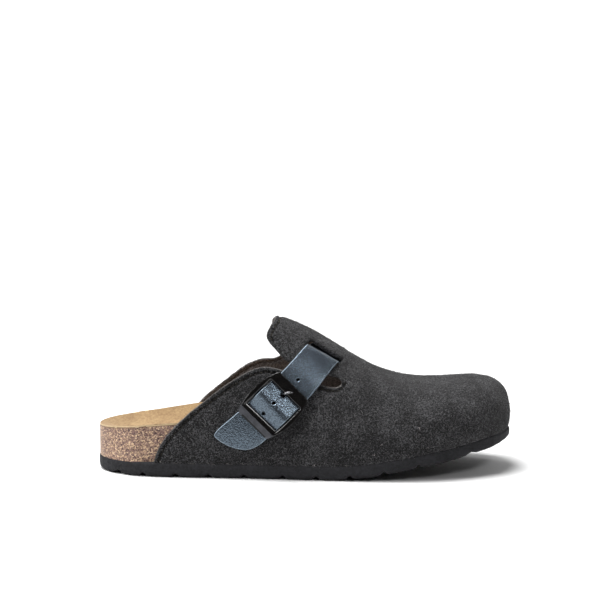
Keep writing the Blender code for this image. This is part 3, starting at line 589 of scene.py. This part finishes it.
def evenly(line, step):  # points a step apart along a line
    lengths = np.concatenate([[0], np.cumsum(np.linalg.norm(np.diff(line, axis=0), axis=1))])
    at = np.arange(0, lengths[-1], step)
    return np.stack([np.interp(at, lengths, line[:, k]) for k in range(3)], axis=1)


def softened(line, rounds):
    for _ in range(rounds):
        line = np.concatenate([line[:1], (line[:-2] + 2 * line[1:-1] + line[2:]) / 4, line[-1:]])
    return line


def besideEdge(edge, skin, inset):  # a line on the skin, at an inset from its edge
    rounds, wayRounds = feltSet["edgeSoften"]
    away = softened(np.array([skin.find_nearest(p)[1] for p in edge]), wayRounds)
    across = unit(np.cross(away, np.gradient(edge, axis=0)))
    off = {way: np.mean([skin.find_nearest(p)[3] for p in edge + way * across * inset]) for way in (1, -1)}
    row = softened(edge + min(off, key=off.get) * across * inset, rounds)
    return np.array([skin.find_nearest(p)[0] for p in row])


def templateOf(piece):  # points and faces of a small shape, which is then removed
    made = pointsOf(piece), [list(p.vertices) for p in piece.data.polygons]
    bpy.data.objects.remove(piece)
    return made


def addStitches(name, felt, row):
    takeUp(felt)
    bpy.ops.object.select_all(action="DESELECT")
    bpy.ops.mesh.primitive_uv_sphere_add(segments=6, ring_count=5, radius=1)
    bpy.ops.object.mode_set(mode="EDIT")
    bpy.ops.transform.rotate(value=math.pi / 2, orient_axis="Y", center_override=(0, 0, 0))
    bpy.ops.transform.resize(value=[s * mm for s in feltSet["stitchSize"]])
    bpy.ops.object.mode_set(mode="OBJECT")
    stitch = templateOf(bpy.context.object)
    skin = treeOf(felt)
    places = evenly(row, feltSet["stitchPitch"] * mm)
    hits = [skin.find_nearest(p) for p in places]
    seat, up = np.array([h[0] for h in hits]), np.array([h[1] for h in hits])
    onward = unit(np.gradient(places, axis=0))
    across = unit(np.cross(up, onward))
    return scatter(name, stitch, seat, unit(np.cross(across, up)), across, up)


def buildFelt():
    model = copyOf("upper", "upperModel")
    patches, areas = smoothPatches(model, feltSet["sharp"])
    felt = copyOf("upper", "felt_upper")
    creaseSharp(felt, feltSet["sharp"])
    roundOff(felt)
    shape(felt, "REMESH", mode="VOXEL", voxel_size=feltSet["grid"] * mm)
    shape(felt, "SMOOTH", factor=0.5, iterations=feltSet["relax"])
    skin = treeOf(felt)
    lineRounds, wayRounds = feltSet["creaseSoften"]
    for pixels, depth, width in feltSet["creases"]:
        seen = [seenAt(pixel, skin) for pixel in pixels]
        places = np.array([place for place, way in seen])
        line = softened(evenly(places, feltSet["edgeStep"] * mm), lineRounds)
        ways = unit(softened(np.array([skin.find_nearest(p)[1] for p in line]), wayRounds))
        pressIn(felt, line, ways, depth, width)
    for name in ("lumps", "nubs"):
        high, across = feltSet[name]
        cloud = bpy.data.textures.new(name, "CLOUDS")
        cloud.noise_scale = across * mm
        shape(felt, "DISPLACE", texture=cloud, texture_coords="LOCAL", strength=high * mm, mid_level=0.5)
    print("felt skin", len(felt.data.polygons), "faces")

    skin = treeOf(felt)
    rows = []
    for side, name in enumerate(("topstitch", "lining_stitch")):
        face = treeOf(model, patches == side)
        for number, run in enumerate(runsAlong(model, patches, side)):
            ends = np.linalg.norm(run[0] - run[-1])
            if lengthOf(run) > feltSet["rowLength"] * mm and ends > feltSet["endsApart"] * mm:
                edge = softened(evenly(run, feltSet["edgeStep"] * mm), feltSet["edgeSoften"][0])
                rows.append((f"{name}_{number}", besideEdge(edge, face, feltSet["stitchInset"] * mm)))
    for name, row in rows:
        line = evenly(row, feltSet["rowStep"] * mm)
        ways = np.array([skin.find_nearest(p)[1] for p in line])
        pressIn(felt, line, ways, feltSet["grooveDepth"], feltSet["grooveWidth"])
    settle(felt, "outsole", *feltSet["sink"])
    for name, row in rows:
        thread = waxedThread if name.startswith("topstitch") else liningThread
        finishPiece(addStitches(name, felt, row), [thread])
    nearest = patchOnto(felt, model, patches)
    kinds = np.minimum(nearest, cutEdge)
    middles, normals = facesOf(felt)
    # cut faces of the slot or facing down keep the outside colour, the rest carry the paler cut colour,
    # partly painted highlight
    kinds[(kinds == cutEdge) & (areas[nearest] < feltSet["rimArea"] * mm ** 2)] = slotWall
    kinds[(kinds == cutEdge) & (normals[:, 2] < feltSet["tuckedEdge"])] = outside
    topRows = [evenly(row, feltSet["rowStep"] * mm) for name, row in rows if name.startswith("topstitch")]
    skin = treeOf(felt)
    seam = pointTree([skin.find_nearest(p)[0] for p in np.concatenate(topRows)])
    # faces along the topstitch rows take the painted groove shade
    kinds[np.array([seam.find(m)[2] for m in middles]) < feltSet["seam"] * mm] = grooveShadeRow
    bpy.data.objects.remove(model)
    finishPiece(felt, [charcoalFelt, liningFelt, cutFelt, grooveShadeFelt, charcoalFelt], "upper")
    felt.data.polygons.foreach_set("material_index", kinds.astype(np.int32))
    return felt, kinds


fibreSet = {
    "count": 18000,
    "length": (0.9, 2.6),  # mm
    "thick": 0.1,  # mm, thicker than wool so that it shows
    "lift": (0.05, 0.95),  # mm that a fibre's loop stands off the skin
    "lowLying": 2.5,  # a higher power leaves fewer high loops
    "root": 0.05,  # mm that its end is in the skin
    "stray": 0.3,  # mm from the middle of a face
    "facing": -0.8,  # no fibres on faces that point further down
    "seed": 7,
}
lintSet = {
    "pixels": [(314, 465), (381, 445.5), (375, 455), (371, 459), (419, 427.5), (428, 448)],
    "threads": 5,  # at each of these places
    "length": (0.5, 1.3),  # mm
    "thick": 0.1,
    "stray": 0.25,
    "seed": 3,
}


def fibreShape(thick):  # a bent thread from 0 to 1 along X that tapers to a point
    rings = [(0.0, 0.0, 0.9), (0.5, 1.0, 0.8)]  # along, lift, thickness
    corners = (math.pi / 2, math.pi * 7 / 6, math.pi * 11 / 6)
    points = [(x, width * math.cos(a), z + 0.5 * width * math.sin(a) * thick)
              for x, z, width in rings for a in corners]
    points.append((1.0, 0.0, 0.8))
    faces = [(2, 1, 0)] + [(k, (k + 1) % 3, 3 + (k + 1) % 3, 3 + k) for k in range(3)]
    faces += [(3 + k, 3 + (k + 1) % 3, 6) for k in range(3)]
    return np.array(points), faces


def layFibres(name, places, up, settings, draw):
    along = unit(np.cross(up, draw.normal(size=up.shape)))
    across = np.cross(up, along)
    length = draw.uniform(*settings["length"], (len(up), 1)) * mm
    low, high = fibreSet["lift"]
    lift = (low + (high - low) * draw.random((len(up), 1)) ** fibreSet["lowLying"]) * mm
    roots = places - up * fibreSet["root"] * mm
    across = across * settings["thick"] * mm
    return scatter(name, fibreShape(settings["thick"]), roots, along * length, across, up * lift)


def buildFibres(felt, kinds):  # loose wool that blurs the felt's outline, and lint caught in it
    draw = np.random.default_rng(fibreSet["seed"])
    middles, normals = facesOf(felt)
    shaggy = np.flatnonzero(np.isin(kinds, (outside, cutEdge)) & (normals[:, 2] > fibreSet["facing"]))
    chosen = draw.choice(shaggy, fibreSet["count"])
    places = middles[chosen] + draw.normal(scale=fibreSet["stray"] * mm, size=(len(chosen), 3))
    finishPiece(layFibres("felt_fibres", places, normals[chosen], fibreSet, draw), [looseWool])

    draw = np.random.default_rng(lintSet["seed"])
    skin = treeOf(felt)
    seen = [seenAt(pixel, skin) for pixel in lintSet["pixels"] for _ in range(lintSet["threads"])]
    places = np.array([place for place, way in seen])
    places = places + draw.normal(scale=lintSet["stray"] * mm, size=places.shape)
    ways = np.array([way for place, way in seen])
    finishPiece(layFibres("lint", places, ways, lintSet, draw), [paleLint])


# strap, one band of leather with punched holes

strapSet = {
    "sharp": 40,  # degrees
    "grid": 0.4,  # mm
    "relax": 5,
    "rawEdge": 0.45,  # mm of the face beside the cut edge that is bare and pale
    "rimArea": 25,  # mm2, a smaller cut face is the wall of a punched hole
}


def buildStrap():
    model = copyOf("strap", "strapModel")
    patches, areas = smoothPatches(model, strapSet["sharp"])
    strap = copyOf("strap", "leather_strap")
    creaseSharp(strap, strapSet["sharp"])
    roundOff(strap)
    shape(strap, "REMESH", mode="VOXEL", voxel_size=strapSet["grid"] * mm)
    shape(strap, "SMOOTH", factor=0.5, iterations=strapSet["relax"])
    cutFace = treeOf(model, (patches > 1) & (areas[patches] > strapSet["rimArea"] * mm ** 2))
    gaps = np.array([cutFace.find_nearest(m)[3] for m in facesOf(strap)[0]])
    edge = gaps < strapSet["rawEdge"] * mm
    bpy.data.objects.remove(model)
    finishPiece(strap, [slateLeather, leatherEdge], "strap")
    strap.data.polygons.foreach_set("material_index", edge.astype(np.int32))


# buckle

buckleSet = {
    "sharp": 25,  # degrees
    "grid": 0.22,  # mm
    "relax": 4,
    "lowerWay": (-0.703, -0.084, -0.708),  # towards the lower bar
    "outWay": (-0.095, -0.973, 0.209),  # away from the foot
    "plate": 4.9,  # mm of the lower bar that is plain gunmetal
    "plateFacing": 0.5,  # only on faces that point outwards by more than this
    "tailShadow": (1.4, 20),  # mm deep and long, the lower bar's edge over the strap's tail, painted black as its shadow line
}


def barKinds(bow):  # lacquer, the plain plate of the lower bar, and its edge painted black as the shadow it casts on the tail
    middles, normals = facesOf(bow)
    reach = middles @ np.array(buckleSet["lowerWay"])
    inwards = (reach.max() - reach) / mm
    aside = middles @ np.cross(buckleSet["lowerWay"], buckleSet["outWay"]) / mm
    aside -= (aside.max() + aside.min()) / 2
    outer = normals @ np.array(buckleSet["outWay"])
    kinds = ((inwards < buckleSet["plate"]) & (outer > buckleSet["plateFacing"])).astype(np.int32)
    deep, long = buckleSet["tailShadow"]
    # the bar's outer edge over the tail is painted black as a shadow line
    kinds[(inwards < deep) & (outer > 0) & (np.abs(aside) < long / 2)] = 2
    return kinds


def buildBuckle():
    for node, name, metals in (("buckle_frame", "buckle_bow", [blackLacquer, gunmetal, shadowLineLacquer]),
                               ("buckle_prong", "buckle_pin", [darkChrome])):
        piece = copyOf(node, name)
        creaseSharp(piece, buckleSet["sharp"])
        roundOff(piece)
        shape(piece, "REMESH", mode="VOXEL", voxel_size=buckleSet["grid"] * mm)
        shape(piece, "SMOOTH", factor=0.5, iterations=buckleSet["relax"])
        finishPiece(piece, metals, node)
        if len(metals) > 1:
            piece.data.polygons.foreach_set("material_index", barKinds(piece))


# footbed, insole and outsole

soleSet = {
    "sharp": 40,  # degrees
    "smooth": 40,  # degrees, sharper edges are shaded sharp
    "skived": 0.7,  # mm of the insole's cut edge that stays pale under its face
    "corkSink": (2.0, 0.6),  # mm, how far up the cork is drawn down, and by how much
    "insoleSink": (1.0, 0.4),
    "grid": 0.8,  # mm between points of the moulded sole
    "relax": 1,
    "gaps": [-135, -119.5, -103.8, -81.7, -60.3, -36.9, -11.5,  # mm, between lugs
             10.0, 30.7, 51.6, 73.1, 102.4, 140],
    "lip": (12, 1.6),  # mm of the toe's end that is drawn out, and by how much
    "heel": (9, 1.6),  # mm of the heel's end whose lower edge is drawn down, and by how much
    "gapWave": (3.5, 36),  # mm to each side, mm long
    "lugRound": (1.1, 7, 5),  # mm that a lug's ends rise, mm in from the edge, mm up the side
    "treadPitch": 6.5,  # mm
    "treadDepth": 0.6,
    "treadWave": (2.2, 18),
    "treadMargin": 5,  # mm kept plain beside the edge
    "underside": -0.85,  # faces that point further down
    "slices": (2, 4, 3),  # mm in from the ends, mm apart, mm to each side
}


def buildFootbed():
    cork = copyOf("footbed", "cork_footbed")
    creaseSharp(cork, soleSet["sharp"])
    roundOff(cork)
    settle(cork, "outsole", *soleSet["corkSink"])
    finishPiece(cork, [pressedCork], "footbed", soleSet["smooth"])

    suede = copyOf("insole", "suede_insole")
    model = copyOf("insole", "insoleModel")
    patches = smoothPatches(model, soleSet["sharp"])[0]
    creaseSharp(suede, soleSet["sharp"])
    roundOff(suede)
    edge = (patchOnto(suede, model, patches) > 1).astype(np.int32)
    top = treeOf(model, patches == 0)
    deep = np.array([top.find_nearest(m)[3] for m in facesOf(suede)[0]]) > soleSet["skived"] * mm
    edge[(edge == 1) & deep] = 2
    bpy.data.objects.remove(model)
    settle(suede, "footbed", *soleSet["insoleSink"])
    finishPiece(suede, [tanSuede, paleSuede, brownSuede], "insole", soleSet["smooth"])
    suede.data.polygons.foreach_set("material_index", edge)


def buildOutsole():
    sole = copyOf("outsole", "moulded_outsole")
    shape(sole, "REMESH", mode="VOXEL", voxel_size=soleSet["grid"] * mm)
    shape(sole, "SMOOTH", factor=0.5, iterations=soleSet["relax"])
    points = pointsOf(sole)
    under = normalsOf(sole)[:, 2] < soleSet["underside"]
    rim = pointTree(points[~under])
    inset = np.zeros(len(points))  # mm in from the edge, for the underside
    inset[under] = np.array([rim.find(p)[2] for p in points[under]]) / mm
    x, y, z = points.T / mm
    swing, wave = soleSet["treadWave"]
    waved = x + swing * np.sin(2 * math.pi * y / wave)
    rib = 0.5 + 0.5 * np.cos(2 * math.pi * waved / soleSet["treadPitch"])
    tread = soleSet["treadDepth"] * rib * np.clip(inset - soleSet["treadMargin"], 0, 1)
    swing, wave = soleSet["gapWave"]
    unwaved = x - swing * np.sin(2 * math.pi * y / wave)
    gaps = np.array(soleSet["gaps"])
    after = np.clip(np.searchsorted(gaps, unwaved), 1, len(gaps) - 1)
    share = (unwaved - gaps[after - 1]) / (gaps[after] - gaps[after - 1])
    rise, inwards, upwards = soleSet["lugRound"]
    bottom = np.interp(x, *lowestAlong(x, z))
    low = np.clip(1 - (z - bottom) / upwards, 0, 1)
    lug = rise * np.clip(np.abs(2 * share - 1), 0, 1) ** 4
    lug *= np.exp(-(inset / inwards) ** 2) * low
    points[:, 2] += (tread * under + lug) * mm
    reach, down = soleSet["heel"]
    drawn = down * np.clip(1 - (x - x.min()) / reach, 0, 1) * low
    points[:, 2] = np.maximum(points[:, 2] - drawn * mm, np.minimum(points[:, 2], 0))
    reach, out = soleSet["lip"]
    points[:, 0] += out * np.clip(1 - (x.max() - x) / reach, 0, 1) ** 2 * mm
    setPoints(sole, points)
    finishPiece(sole, [foamRubber], "outsole")


def lowestAlong(x, z):  # stations along the sole and the lowest height at each
    end, apart, half = soleSet["slices"]
    stations = np.arange(x.min() + end, x.max() - end, apart)
    return stations, np.array([z[np.abs(x - s) < half].min() for s in stations])


camera = placeCamera()
buildStudio()
felt, kinds = buildFelt()
buildFibres(felt, kinds)
buildStrap()
buildBuckle()
buildFootbed()
buildOutsole()
